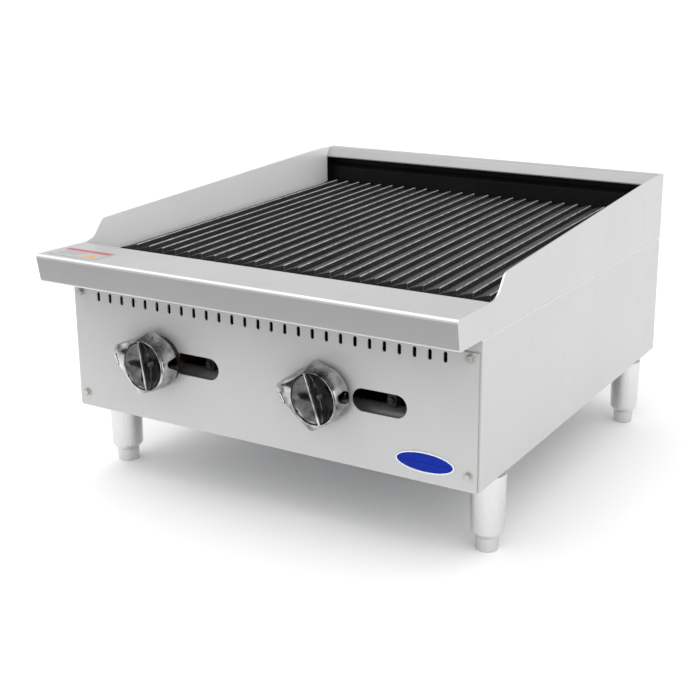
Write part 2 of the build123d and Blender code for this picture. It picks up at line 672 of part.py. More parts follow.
# --- knobs --------------------------------------------------------------------------
def bezel(side):
    """Dark ring on the panel behind a knob."""
    ring = tube((KNOB_X[side], 0, AXIS_Z), (0, -1, 0), BEZEL_RADIUS, STEM_RADIUS + 3.0, BEZEL_THICKNESS[side])
    return fillet(ring.edges().filter_by(GeomType.CIRCLE).group_by(Axis.Y)[0][-1:], 1.0)


def teardrop(radius, tip):
    """Round on the right, with two tangent edges that meet in a rounded tip on the left."""
    half_angle = math.asin(radius / tip)
    touch = (-radius * math.sin(half_angle), radius * math.cos(half_angle))
    outline = Circle(radius)
    outline += make_face(Polyline((-tip, 0), touch, (touch[0], -touch[1]), close=True))
    corner = outline.vertices().sort_by(Axis.X)[0]
    return fillet(corner, 9.0)


def knob_body():
    """Knob at the origin, its front towards +Z and its pointer towards -X."""
    body = extrude(teardrop(KNOB_RADIUS, KNOB_TIP), KNOB_DEPTH, taper=KNOB_TAPER)
    bowl_radius = 72.0
    bowl_depth = 5.0
    slab = Box(60, 120, 20, align=(Align.MAX, Align.CENTER, Align.MIN))
    body -= Pos(5.0 - KNOB_RADIUS, 0, KNOB_DEPTH) * Rot(0, -KNOB_FACET, 0) * slab
    bowl = Pos(0, 0, KNOB_DEPTH - bowl_depth + bowl_radius) * Sphere(bowl_radius)
    fin = Box(3.0, 62.0, bowl_depth, align=(Align.CENTER, Align.CENTER, Align.MIN))
    fin = Pos(0, 0, KNOB_DEPTH - bowl_depth - 0.5) * Rot(0, 0, FIN_TURN) * fin
    keep = extrude(Circle(KNOB_RADIUS - 8.0), KNOB_DEPTH - 1.0)
    body = body - bowl + (fin & keep)
    return body - extrude(Circle(STEM_RADIUS + 0.05), 16.0)


def knob(side):
    """A knob on its stem, turned to its rest angle."""
    place = Plane(origin=(KNOB_X[side], KNOB_BACK_Y[side], AXIS_Z), x_dir=(1, 0, 0), z_dir=(0, -1, 0))
    return place.location * Rot(0, 0, KNOB_TURN[side]) * knob_body()


# --- legs ---------------------------------------------------------------------------
def leg(x, y):
    """Tapered tube with a closed top, a fixing stud and a threaded insert at the bottom."""
    insert = 15.0
    bore = FOOT_STUD_R + RUNNING_GAP
    outline = [
        (0, 0),
        (LEG_TOP_R, 0),
        (LEG_BOTTOM_R, -LEG_LENGTH + 6.0),
        (LEG_BOTTOM_R - 4.5, -LEG_LENGTH),
        (bore, -LEG_LENGTH),
        (bore, -LEG_LENGTH + insert),
        (LEG_BOTTOM_R - LEG_WALL - 0.3, -LEG_LENGTH + insert),
        (LEG_TOP_R - LEG_WALL, -3.0),
        (0, -3.0),
    ]
    profile = make_face(Plane.XZ * Polyline(*outline, close=True))
    body = revolve(profile, Axis.Z, 360)
    body += rod((0, 0, 0), (0, 0, 1), LEG_STUD_R, 16.0)
    return Pos(x, y, 0) * body


def foot(x, y):
    """Adjustable foot: a tapered pad on a long stud."""
    height = LEG_HEIGHT - LEG_LENGTH
    outline = [
        (0, -LEG_HEIGHT),
        (FOOT_R - 1.6, -LEG_HEIGHT),
        (FOOT_R - 0.8, -LEG_HEIGHT + 1.0),
        (FOOT_R, -LEG_HEIGHT + height - 1.5),
        (FOOT_R - 1.0, -LEG_HEIGHT + height - 0.3),
        (FOOT_STUD_R, -LEG_HEIGHT + height - 0.3),
        (FOOT_STUD_R, -LEG_LENGTH + FOOT_STUD_LENGTH),
        (0, -LEG_LENGTH + FOOT_STUD_LENGTH),
    ]
    profile = make_face(Plane.XZ * Polyline(*outline, close=True))
    return Pos(x, y, 0) * revolve(profile, Axis.Z, 360)


def leg_plates():
    """Square plates on the floor that take the legs' studs."""
    plates = []
    for x, y in leg_places():
        inner = math.copysign(LEG_X - 12.0, x)
        plate = block((inner - 28, inner + 28), (y - 30, y + 30), (2 * SHEET, 2 * SHEET + 3.0))
        plates.append(plate - rod((x, y, 0), (0, 0, 1), LEG_STUD_R + 0.4, 10.0))
    return plates


def leg_nuts():
    """Nuts on the legs' studs."""
    base = 2 * SHEET + 3.0
    nuts = []
    for x, y in leg_places():
        plane = Plane(origin=(x, y, base))
        nut = extrude(plane * RegularPolygon(9.5, 6), 8.0)
        nuts.append(nut - rod((x, y, base), (0, 0, 1), LEG_STUD_R + 0.05, 8.0))
    return nuts


def leg_places():
    """The four corners of the body."""
    return [(sign * LEG_X, y) for y in LEG_Y.values() for sign in (-1, 1)]


# --- assembly -----------------------------------------------------------------------
def build_nodes():
    """Every node of the part, in the body frame."""
    nodes["top_shell"] = top_shell()
    for side, panel in both(side_panel()).items():
        nodes[f"side_panel_{side}"] = panel
    nodes["bottom_panel"] = bottom_panel()
    nodes["back_panel"] = back_panel()
    nodes["rear_cap"] = rear_cap()
    nodes["control_panel"] = control_panel()
    nodes["inner_apron"] = inner_apron()
    nodes["badge"] = badge()
    nodes["shelf_label"] = shelf_label()
    nodes["panel_screws"] = panel_screws()
    nodes["panel_washers"] = panel_washers()
    nodes["back_screws"] = back_screws()
    for side, liner in both(firebox_side()).items():
        nodes[f"firebox_{side}"] = liner
    nodes["firebox_front"] = firebox_front()
    nodes["firebox_rear"] = firebox_rear()
    nodes["drip_pan"] = drip_pan()
    nodes["grate_rail_front"] = grate_rail(GRATE_FRONT_Y + 6.0, LINER_HALF - LINER_SHEET - 0.2)
    rear_half = SHELL_INNER_X - LINER_SHEET - 0.2
    nodes["grate_rail_rear"] = grate_rail(GRATE_FRONT_Y + GRATE_LENGTH - 20.0, rear_half)
    nodes["rear_comb"] = rear_comb()
    nodes["radiant_rail_front"] = radiant_rail(FIREWALL_Y + LINER_SHEET)
    nodes["radiant_rail_rear"] = mirror_rail()
    nodes["grate_left"] = placed_grate(-GRATE_WIDTH - 1.5)
    nodes["grate_right"] = placed_grate(1.5)
    nodes["burner_rest"] = burner_rest()
    nodes["manifold"] = manifold()
    nodes["supply_pipe"] = supply_pipe()
    nodes["inlet_collar"] = inlet_collar()
    for side in SIDES:
        nodes[f"radiant_{side}"] = radiant(side)
        nodes[f"burner_{side}"] = burner(side)
        nodes[f"air_shutter_{side}"] = air_shutter(side)
        nodes[f"burner_valve_{side}"] = burner_valve(side)
        nodes[f"orifice_{side}"] = orifice(side)
        nodes[f"valve_stem_{side}"] = valve_stem(side)
        nodes[f"pilot_valve_{side}"] = pilot_valve(side)
        nodes[f"pilot_tube_{side}"] = pilot_tube(side)
        nodes[f"bezel_{side}"] = bezel(side)
        nodes[f"knob_{side}"] = knob(side)
    for end, y in LEG_Y.items():
        for side, sign in SIDE_SIGN.items():
            nodes[f"leg_{end}_{side}"] = leg(sign * LEG_X, y)
            nodes[f"foot_{end}_{side}"] = foot(sign * LEG_X, y)
    nodes["pilot_tips"] = [pilot_tip(side) for side in SIDES]
    nodes["leg_plates"] = leg_plates()
    nodes["leg_nuts"] = leg_nuts()


def mirror_rail():
    """The rear radiant rail faces the front one."""
    middle = (FIREWALL_Y + REAR_LINER_Y) / 2
    return mirror(radiant_rail(FIREWALL_Y + LINER_SHEET), about=Plane.XZ.offset(-middle))


def write_nodes():
    """Moves each node to the part frame and writes its STEP file."""
    os.makedirs("parts", exist_ok=True)
    for name, shape in nodes.items():
        if isinstance(shape, list):
            shape = Compound(children=[solid for piece in shape for solid in piece.solids()])
        export_step(Pos(*PART_SHIFT) * shape, f"parts/{name}.step")


build_nodes()
write_nodes()
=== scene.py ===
"""Countertop gas charbroiler: finishes, hand-modelled trim, studio and camera around the fixed frame."""

import logging
import math
from dataclasses import dataclass
from enum import Enum
from typing import Callable, Dict, Optional, Sequence, Tuple

import bpy
from mathutils import Matrix, Vector

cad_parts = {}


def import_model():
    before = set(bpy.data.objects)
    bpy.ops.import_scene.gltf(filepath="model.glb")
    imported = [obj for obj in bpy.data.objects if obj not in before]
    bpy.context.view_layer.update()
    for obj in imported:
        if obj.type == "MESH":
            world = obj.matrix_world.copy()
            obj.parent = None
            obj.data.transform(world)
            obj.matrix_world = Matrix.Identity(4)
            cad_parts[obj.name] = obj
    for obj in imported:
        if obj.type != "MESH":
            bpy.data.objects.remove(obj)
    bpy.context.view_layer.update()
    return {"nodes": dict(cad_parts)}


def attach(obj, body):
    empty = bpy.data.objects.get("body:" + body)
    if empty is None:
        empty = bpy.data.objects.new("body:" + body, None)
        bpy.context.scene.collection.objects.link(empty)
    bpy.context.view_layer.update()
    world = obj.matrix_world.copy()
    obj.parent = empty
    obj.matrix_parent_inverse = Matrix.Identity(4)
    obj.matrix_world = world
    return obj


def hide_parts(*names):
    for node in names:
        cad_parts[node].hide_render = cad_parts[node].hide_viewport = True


log = logging.getLogger("charbroiler")

Socket = bpy.types.NodeSocket
Colour = Tuple[float, float, float]
Point = Tuple[float, float, float]

PANEL_Y = -0.304
BODY_Z = 0.100
SIDES = ("left", "right")


class GrainAxis(Enum):
    """The way the polishing lines of a metal run."""

    ALONG_X = (4.0, 420.0, 420.0)
    ALONG_Y = (420.0, 4.0, 420.0)
    ALONG_Z = (420.0, 420.0, 6.0)
    NONE = (160.0, 160.0, 160.0)


class FaceWay(Enum):
    """The ways a sheet's face can look, each with its own painted light or shade."""

    SIDE = "Side"
    INNER = "Inner"
    FRONT = "Front"
    TOP = "Top"
    UNDER = "Under"
    BEND = "Bend"


def frame_point(x: float, y: float, z: float) -> Vector:
    """Turn body millimetres into the frame's metres.

    Args:
        x: Distance to the right of the middle.
        y: Distance behind the control panel's face.
        z: Height above the body's underside.

    Returns:
        The point in the frame.
    """
    return Vector((x / 1000, y / 1000 + PANEL_Y, z / 1000 + BODY_Z))


# --- node groups --------------------------------------------------------------------
@dataclass
class NodeSheet:
    """A node tree with short calls for adding and linking nodes."""

    tree: bpy.types.NodeTree
    across: float = 0.0

    def add(self, kind: str, **settings: object) -> bpy.types.Node:
        """Add a node and set its properties.

        Args:
            kind: The node's type name.
            **settings: Properties of the node by name.

        Returns:
            The new node.
        """
        node = self.tree.nodes.new(kind)
        node.location = (self.across, 0)
        self.across += 180
        for name, value in settings.items():
            setattr(node, name, value)
        return node

    def feed(self, socket: Socket, value: object) -> None:
        """Link a socket to an output, or set its number or colour.

        Args:
            socket: The input socket.
            value: An output socket, a number, or a colour.
        """
        if isinstance(value, Socket):
            self.tree.links.new(value, socket)
        elif isinstance(value, tuple) and len(value) == 3 and socket.type == "RGBA":
            socket.default_value = (*value, 1.0)
        else:
            socket.default_value = value

    def maths(self, operation: str, first: object, second: object = 0.0, third: object = 0.0) -> Socket:
        """Add a Math node and return its output.

        Args:
            operation: The node's operation.
            first: First value or socket.
            second: Second value or socket.
            third: Third value or socket.

        Returns:
            The result.
        """
        node = self.add("ShaderNodeMath", operation=operation)
        for socket, value in zip(node.inputs, (first, second, third)):
            self.feed(socket, value)
        return node.outputs[0]

    def mix(self, factor: object, first: object, second: object) -> Socket:
        """Mix two colours and return the result's socket.

        Args:
            factor: How much of the second.
            first: First value or socket.
            second: Second value or socket.

        Returns:
            The result.
        """
        node = self.add("ShaderNodeMix", data_type="RGBA")
        self.feed(node.inputs["Factor"], factor)
        self.feed(node.inputs[6], first)
        self.feed(node.inputs[7], second)
        return node.outputs[2]

    def mix_value(self, factor: object, first: object, second: object) -> Socket:
        """Mix two numbers and return the result's socket.

        Args:
            factor: How much of the second.
            first: First value or socket.
            second: Second value or socket.

        Returns:
            The result.
        """
        node = self.add("ShaderNodeMix", data_type="FLOAT")
        self.feed(node.inputs["Factor"], factor)
        self.feed(node.inputs[2], first)
        self.feed(node.inputs[3], second)
        return node.outputs[0]

    def ramp(
        self, value: object, low: float, high: float, to_low: float = 0.0, to_high: float = 1.0
    ) -> Socket:
        """Map a value's range onto another, clamped, and return the result's socket.

        Args:
            value: The value or socket.
            low: Where the ramp starts.
            high: Where the ramp ends.
            to_low: The result at its start.
            to_high: The result at its end.

        Returns:
            The result.
        """
        node = self.add("ShaderNodeMapRange")
        for socket, number in zip(node.inputs, (value, low, high, to_low, to_high)):
            self.feed(socket, number)
        return node.outputs[0]

    def noise(self, vector: object, scale: float, detail: float = 3.0, roughness: float = 0.5) -> Socket:
        """Add a noise texture and return its value.

        Args:
            vector: The place to sample.
            scale: Its scale.
            detail: Its octaves.
            roughness: The share of each finer octave.

        Returns:
            The result.
        """
        node = self.add("ShaderNodeTexNoise")
        self.feed(node.inputs["Vector"], vector)
        node.inputs["Scale"].default_value = scale
        node.inputs["Detail"].default_value = detail
        node.inputs["Roughness"].default_value = roughness
        return node.outputs["Fac"]


def new_group(
    name: str, inputs: Sequence[Tuple[str, str, object]], outputs: Sequence[str]
) -> Tuple[NodeSheet, bpy.types.Node, bpy.types.Node]:
    """Start a shader node group with its sockets.

    Args:
        name: The group's name.
        inputs: Name, socket kind and default of each input.
        outputs: Names of the number outputs.

    Returns:
        The group's sheet, its input node and its output node.
    """
    group = bpy.data.node_groups.new(name, "ShaderNodeTree")
    for label, kind, default in inputs:
        socket = group.interface.new_socket(label, in_out="INPUT", socket_type=kind)
        socket.default_value = default
    for label in outputs:
        group.interface.new_socket(label, in_out="OUTPUT", socket_type="NodeSocketFloat")
    sheet = NodeSheet(group)
    return sheet, sheet.add("NodeGroupInput"), sheet.add("NodeGroupOutput")


VECTOR = "NodeSocketVector"
FLOAT = "NodeSocketFloat"


class Effects:
    """The shared surface effects, each a node group built once."""

    _made: Dict[str, bpy.types.NodeTree] = {}

    @classmethod
    def get(cls, name: str, build: Callable[[str], bpy.types.NodeTree]) -> bpy.types.NodeTree:
        """Return a group, building it the first time.

        Args:
            name: The name to use.
            build: Builds the effect.

        Returns:
            The effect's node tree.
        """
        if name not in cls._made:
            cls._made[name] = build(name)
        return cls._made[name]

    @staticmethod
    def grain(name: str) -> bpy.types.NodeTree:
        """Build the polishing lines: stretched noise that turns with the face it lies on.

        Args:
            name: The name to use.

        Returns:
            The effect's node tree.
        """
        sheet, given, out = new_group(
            name,
            [
                ("Vector", VECTOR, (0, 0, 0)),
                ("Stretch", VECTOR, (1, 1, 1)),
                ("Side Stretch", VECTOR, (1, 1, 1)),
            ],
            ["Lines", "Streaks"],
        )
        normal = sheet.add("ShaderNodeNewGeometry").outputs["Normal"]
        split = sheet.add("ShaderNodeSeparateXYZ")
        sheet.feed(split.inputs[0], normal)
        facing = sheet.maths("GREATER_THAN", sheet.maths("ABSOLUTE", split.outputs[0]), 0.7)
        chosen = sheet.add("ShaderNodeMix", data_type="VECTOR")
        sheet.feed(chosen.inputs["Factor"], facing)
        sheet.feed(chosen.inputs[4], given.outputs["Stretch"])
        sheet.feed(chosen.inputs[5], given.outputs["Side Stretch"])
        spread = sheet.add("ShaderNodeVectorMath", operation="MULTIPLY")
        sheet.feed(spread.inputs[0], given.outputs["Vector"])
        sheet.feed(spread.inputs[1], chosen.outputs[1])
        fine = sheet.noise(spread.outputs[0], 6.0, 4.0, 0.62)
        broad = sheet.noise(spread.outputs[0], 0.9, 3.0, 0.55)
        sheet.feed(out.inputs["Lines"], fine)
        sheet.feed(out.inputs["Streaks"], sheet.ramp(broad, 0.32, 0.68))
        return sheet.tree

    @staticmethod
    def facing(name: str) -> bpy.types.NodeTree:
        """Build painted light and shade for sheet steel: each way a face looks gets its own painted
        lightness, inner sides and undersides theirs too, and bends get a painted highlight.

        Args:
            name: The name to use.

        Returns:
            The effect's node tree.
        """
        sheet, given, out = new_group(
            name, [("Vector", VECTOR, (0, 0, 0))] + [(way.value, FLOAT, 1.0) for way in FaceWay], ["Sheen"]
        )
        split = sheet.add("ShaderNodeSeparateXYZ")
        sheet.feed(split.inputs[0], sheet.add("ShaderNodeNewGeometry").outputs["Normal"])
        across, along, upward = (sheet.maths("MULTIPLY", value, value) for value in split.outputs)
        spot = sheet.add("ShaderNodeSeparateXYZ")
        sheet.feed(spot.inputs[0], given.outputs["Vector"])
        # Painted light and shade: side, inner side, front, underside and top faces each scale the colour by
        # their own painted lightness.
        painted_inner_side_mask = sheet.ramp(sheet.maths("MULTIPLY", split.outputs[0], spot.outputs[0]), -0.10, -0.16)
        side = sheet.mix_value(painted_inner_side_mask, given.outputs["Side"], given.outputs["Inner"])
        painted_underside_mask = sheet.ramp(split.outputs[2], -0.03, -0.12)
        front = sheet.mix_value(painted_underside_mask, given.outputs["Front"], given.outputs["Under"])
        painted_lightness = sheet.maths("MULTIPLY", across, side)
        painted_lightness = sheet.maths("MULTIPLY_ADD", along, front, painted_lightness)
        painted_lightness = sheet.maths("MULTIPLY_ADD", upward, given.outputs["Top"], painted_lightness)
        # Painted highlight on bends between the top and the sides or front.
        painted_bend_highlight = sheet.ramp(sheet.maths("MULTIPLY", upward, sheet.maths("SUBTRACT", 1.0, upward)), 0.06, 0.24)
        sheet.feed(out.inputs["Sheen"], sheet.maths("MULTIPLY_ADD", painted_bend_highlight, given.outputs["Bend"], painted_lightness))
        return sheet.tree

    @staticmethod
    def blotches_and_painted_reflections(name: str) -> bpy.types.NodeTree:
        """Build the uneven handling marks, and on the knob chrome painted reflections: soft clouds and a few
        finer smears.

        Args:
            name: The name to use.

        Returns:
            The effect's node tree.
        """
        sheet, given, out = new_group(
            name, [("Vector", VECTOR, (0, 0, 0)), ("Scale", FLOAT, 5.0)], ["Clouds", "Smears"]
        )
        scaled = sheet.add("ShaderNodeVectorMath", operation="SCALE")
        sheet.feed(scaled.inputs[0], given.outputs["Vector"])
        sheet.feed(scaled.inputs["Scale"], given.outputs["Scale"])
        clouds = sheet.noise(scaled.outputs[0], 1.0, 4.0, 0.5)
        smears = sheet.noise(scaled.outputs[0], 4.3, 6.0, 0.6)
        sheet.feed(out.inputs["Clouds"], sheet.ramp(clouds, 0.3, 0.7))
        sheet.feed(out.inputs["Smears"], sheet.ramp(smears, 0.52, 0.72))
        return sheet.tree

    @staticmethod
    def edge_wear_and_highlight(name: str) -> bpy.types.NodeTree:
        """Build the edge mask for wear and painted highlights: where a rounded normal leaves the real one,
        broken up by noise.

        Args:
            name: The name to use.

        Returns:
            The effect's node tree.
        """
        sheet, given, out = new_group(
            name, [("Vector", VECTOR, (0, 0, 0)), ("Width", FLOAT, 0.001)], ["Mask"]
        )
        rounded = sheet.add("ShaderNodeBevel", samples=4)
        sheet.feed(rounded.inputs["Radius"], given.outputs["Width"])
        dot = sheet.add("ShaderNodeVectorMath", operation="DOT_PRODUCT")
        sheet.feed(dot.inputs[0], rounded.outputs[0])
        sheet.feed(dot.inputs[1], sheet.add("ShaderNodeNewGeometry").outputs["Normal"])
        edge = sheet.ramp(dot.outputs["Value"], 0.995, 0.88)
        breaks = sheet.ramp(sheet.noise(given.outputs["Vector"], 160.0, 4.0, 0.6), 0.35, 0.6)
        sheet.feed(out.inputs["Mask"], sheet.maths("MULTIPLY", edge, breaks))
        return sheet.tree

    @staticmethod
    def cast_skin(name: str) -> bpy.types.NodeTree:
        """Build the sand-cast skin: fine sand grain with scattered pits.

        Args:
            name: The name to use.

        Returns:
            The effect's node tree.
        """
        sheet, given, out = new_group(
            name, [("Vector", VECTOR, (0, 0, 0)), ("Grain", FLOAT, 900.0)], ["Height", "Pits"]
        )
        scaled = sheet.add("ShaderNodeVectorMath", operation="SCALE")
        sheet.feed(scaled.inputs[0], given.outputs["Vector"])
        sheet.feed(scaled.inputs["Scale"], given.outputs["Grain"])
        sand = sheet.noise(scaled.outputs[0], 1.0, 5.0, 0.65)
        cells = sheet.add("ShaderNodeTexVoronoi", distance="EUCLIDEAN")
        sheet.feed(cells.inputs["Vector"], scaled.outputs[0])
        cells.inputs["Scale"].default_value = 0.35
        pits = sheet.ramp(cells.outputs["Distance"], 0.05, 0.32, 1.0, 0.0)
        sheet.feed(out.inputs["Height"], sheet.maths("SUBTRACT", sand, sheet.maths("MULTIPLY", pits, 0.5)))
        sheet.feed(out.inputs["Pits"], pits)
        return sheet.tree


# --- finishes -----------------------------------------------------------------------
@dataclass(frozen=True)
class Finish:
    """A procedural finish: two tones, shine, grain or cast skin, marks (painted reflections on the knob
    chrome), edges lightened by wear and painted highlights, and painted light and shade by face direction.
    """

    name: str
    tone: Colour
    second_tone: Colour
    metallic: float = 1.0
    roughness: float = 0.3
    roughness_spread: float = 0.08
    grain: GrainAxis = GrainAxis.NONE
    side_grain: GrainAxis = GrainAxis.NONE
    grain_height: float = 0.00002
    streak_tone: float = 0.25
    cloud_scale: float = 6.0
    cast_grain: float = 0.0
    cast_height: float = 0.0003
    edge_wear_highlight_tone: Optional[Colour] = None
    edge_width: float = 0.001
    coat: float = 0.0
    specular: float = 0.5
    # Painted light and shade: lightness of side, inner side, front, top and underside faces, then the painted
    # highlight on bends.
    painted_shading: Optional[Tuple[float, float, float, float, float, float]] = None

    def material(self) -> bpy.types.Material:
        """Build the finish's material.

        Returns:
            The material, with all its nodes.
        """
        material = bpy.data.materials.new(self.name)
        material.use_nodes = True
        material.node_tree.nodes.clear()
        sheet = NodeSheet(material.node_tree)
        place = sheet.add("ShaderNodeTexCoord").outputs["Object"]
        shader = sheet.add("ShaderNodeBsdfPrincipled")
        marks = self._effect(
            sheet, "blotches_and_painted_reflections", Effects.blotches_and_painted_reflections, {"Vector": place, "Scale": self.cloud_scale}
        )
        lines = self._effect(
            sheet, "grain", Effects.grain,
            {"Vector": place, "Stretch": self.grain.value, "Side Stretch": self.side_grain.value},
        )
        share = sheet.maths(
            "MULTIPLY_ADD", lines.outputs["Streaks"], self.streak_tone, marks.outputs["Clouds"]
        )
        share = sheet.maths("DIVIDE", share, 1.0 + self.streak_tone)
        colour = sheet.mix(share, self.tone, self.second_tone)
        # Painted light and shade: the colour is scaled by each face's painted lightness for the way it looks.
        if self.painted_shading:
            values = {way.value: number for way, number in zip(FaceWay, self.painted_shading)}
            facing = self._effect(sheet, "facing", Effects.facing, {"Vector": place, **values})
            scaled = sheet.add("ShaderNodeVectorMath", operation="SCALE")
            sheet.feed(scaled.inputs[0], colour)
            sheet.feed(scaled.inputs["Scale"], facing.outputs["Sheen"])
            colour = scaled.outputs[0]
        height = lines.outputs["Lines"]
        rough = sheet.maths("MULTIPLY_ADD", marks.outputs["Smears"], self.roughness_spread, self.roughness)
        rough = sheet.maths("MULTIPLY_ADD", lines.outputs["Lines"], self.roughness_spread, rough)
        distance = self.grain_height
        if self.cast_grain:
            skin = self._effect(
                sheet, "cast_skin", Effects.cast_skin, {"Vector": place, "Grain": self.cast_grain}
            )
            height = skin.outputs["Height"]
            distance = self.cast_height
            dark = tuple(value * 0.45 for value in self.tone)
            colour = sheet.mix(sheet.maths("MULTIPLY", skin.outputs["Pits"], 0.5), colour, dark)
        # Lighter edges: painted highlights on the knob grip, wear together with painted highlights on the
        # grates.
        if self.edge_wear_highlight_tone:
            edge_wear_highlight_node = self._effect(
                sheet, "edge_wear_and_highlight", Effects.edge_wear_and_highlight, {"Vector": place, "Width": self.edge_width}
            )
            colour = sheet.mix(edge_wear_highlight_node.outputs["Mask"], colour, self.edge_wear_highlight_tone)
        colour = self.decorate(sheet, place, colour)
        bump = sheet.add("ShaderNodeBump")
        bump.inputs["Distance"].default_value = distance
        sheet.feed(bump.inputs["Height"], height)
        sheet.feed(shader.inputs["Base Color"], colour)
        sheet.feed(shader.inputs["Roughness"], rough)
        sheet.feed(shader.inputs["Normal"], bump.outputs[0])
        shader.inputs["Metallic"].default_value = self.metallic
        shader.inputs["Coat Weight"].default_value = self.coat
        shader.inputs["Specular IOR Level"].default_value = self.specular
        output = sheet.add("ShaderNodeOutputMaterial")
        sheet.feed(output.inputs["Surface"], shader.outputs[0])
        return material

    def decorate(self, sheet: NodeSheet, place: Socket, colour: Socket) -> Socket:
        """Add print or tint to the colour. The plain finish adds none.

        Args:
            sheet: The material's sheet.
            place: Object coordinates.
            colour: The colour so far.

        Returns:
            The result.
        """
        return colour

    @staticmethod
    def _effect(sheet: NodeSheet, name: str, build: Callable, values: Dict[str, object]) -> bpy.types.Node:
        """Place a shared effect with its own values.

        Args:
            sheet: The material's sheet.
            name: The name to use.
            build: Builds the effect.
            values: Socket values by name.

        Returns:
            The effect's node.
        """
        node = sheet.add("ShaderNodeGroup", node_tree=Effects.get(name, build))
        for socket, value in values.items():
            sheet.feed(node.inputs[socket], value)
        return node


class Finishes(Enum):
    """Every finish of the machine."""

    # These steel finishes paint light and shade by face direction; shell, cap and panel are copies of one
    # steel with different painted lightness.
    SHELL_STEEL = Finish(
        "shell_steel", (0.60, 0.60, 0.603), (0.57, 0.57, 0.573), metallic=0.3, roughness=0.30,
        grain=GrainAxis.ALONG_X, side_grain=GrainAxis.ALONG_Y, painted_shading=(0.87, 1.72, 0.80, 0.62, 0.55, 0.66),
    )
    CAP_STEEL = Finish(
        "cap_steel", (0.60, 0.60, 0.603), (0.57, 0.57, 0.573), metallic=0.3, roughness=0.34,
        grain=GrainAxis.ALONG_X, side_grain=GrainAxis.ALONG_Y, painted_shading=(0.94, 0.94, 0.60, 0.56, 0.6, 0.05),
    )
    PANEL_STEEL = Finish(
        "panel_steel", (0.60, 0.60, 0.60), (0.57, 0.57, 0.57), metallic=0.3, roughness=0.34,
        grain=GrainAxis.ALONG_X, side_grain=GrainAxis.ALONG_Y, painted_shading=(0.87, 0.87, 0.86, 0.80, 0.7, 0.45),
    )
    GALVANISED = Finish(
        "galvanised_sheet", (0.50, 0.51, 0.52), (0.38, 0.39, 0.40), roughness=0.42, cloud_scale=40.0,
    )
    LEG_STEEL = Finish(
        "leg_steel", (0.74, 0.74, 0.74), (0.66, 0.66, 0.66), roughness=0.24, grain=GrainAxis.ALONG_Z,
        side_grain=GrainAxis.ALONG_Z,
    )
    FOOT_STEEL = Finish(
        "foot_steel", (0.70, 0.70, 0.70), (0.60, 0.60, 0.60), roughness=0.28, grain=GrainAxis.ALONG_Z,
        side_grain=GrainAxis.ALONG_Z,
    )
    ZINC = Finish("zinc_plate", (0.62, 0.61, 0.58), (0.50, 0.49, 0.46), roughness=0.33, cloud_scale=90.0)
    LINER_BLACK = Finish(
        "liner_enamel", (0.004, 0.004, 0.004), (0.009, 0.009, 0.009), metallic=0.0, roughness=0.42,
        roughness_spread=0.2, cloud_scale=9.0, specular=0.12,
    )
    RADIANT_STEEL = Finish(
        "radiant_steel", (0.16, 0.15, 0.14), (0.09, 0.085, 0.08), metallic=0.8, roughness=0.5,
        cloud_scale=18.0, grain=GrainAxis.ALONG_Y, side_grain=GrainAxis.ALONG_Y,
    )
    BURNER_IRON = Finish(
        "burner_iron", (0.06, 0.06, 0.06), (0.09, 0.085, 0.08), metallic=0.4, roughness=0.6, cast_grain=700.0,
        cloud_scale=20.0,
    )
    PIPE_BLACK = Finish(
        "pipe_black", (0.20, 0.20, 0.20), (0.27, 0.27, 0.27), metallic=0.5, roughness=0.40, cloud_scale=30.0,
    )
    VALVE_GREY = Finish(
        "valve_grey", (0.05, 0.05, 0.05), (0.09, 0.09, 0.09), metallic=0.5, roughness=0.45, cloud_scale=60.0,
    )
    BRASS = Finish("valve_brass", (0.60, 0.43, 0.18), (0.45, 0.31, 0.12), roughness=0.34, cloud_scale=60.0)
    BEZEL_BLACK = Finish(
        "bezel_black", (0.010, 0.010, 0.010), (0.016, 0.016, 0.016), metallic=0.0, roughness=0.28,
        cloud_scale=60.0,
    )
    CHROME = Finish(
        "pointer_chrome", (0.80, 0.80, 0.80), (0.74, 0.74, 0.74), roughness=0.08, cloud_scale=70.0,
        grain_height=0.000004,
    )
    # Knob chrome: the clouds between near black and bright are painted reflections.
    SMOKY_CHROME = Finish(
        "knob_chrome", (0.06, 0.06, 0.06), (0.80, 0.80, 0.80), roughness=0.06, roughness_spread=0.05,
        cloud_scale=48.0, grain_height=0.000004,
    )
    # Grip scoops: painted shade and painted dark reflections, with painted highlights on their edges.
    GRIP_CHROME = Finish(
        "knob_grip", (0.030, 0.030, 0.030), (0.20, 0.20, 0.20), roughness=0.10, roughness_spread=0.06,
        cloud_scale=75.0, grain_height=0.000004, edge_wear_highlight_tone=(0.85, 0.85, 0.85), edge_width=0.0012,
    )


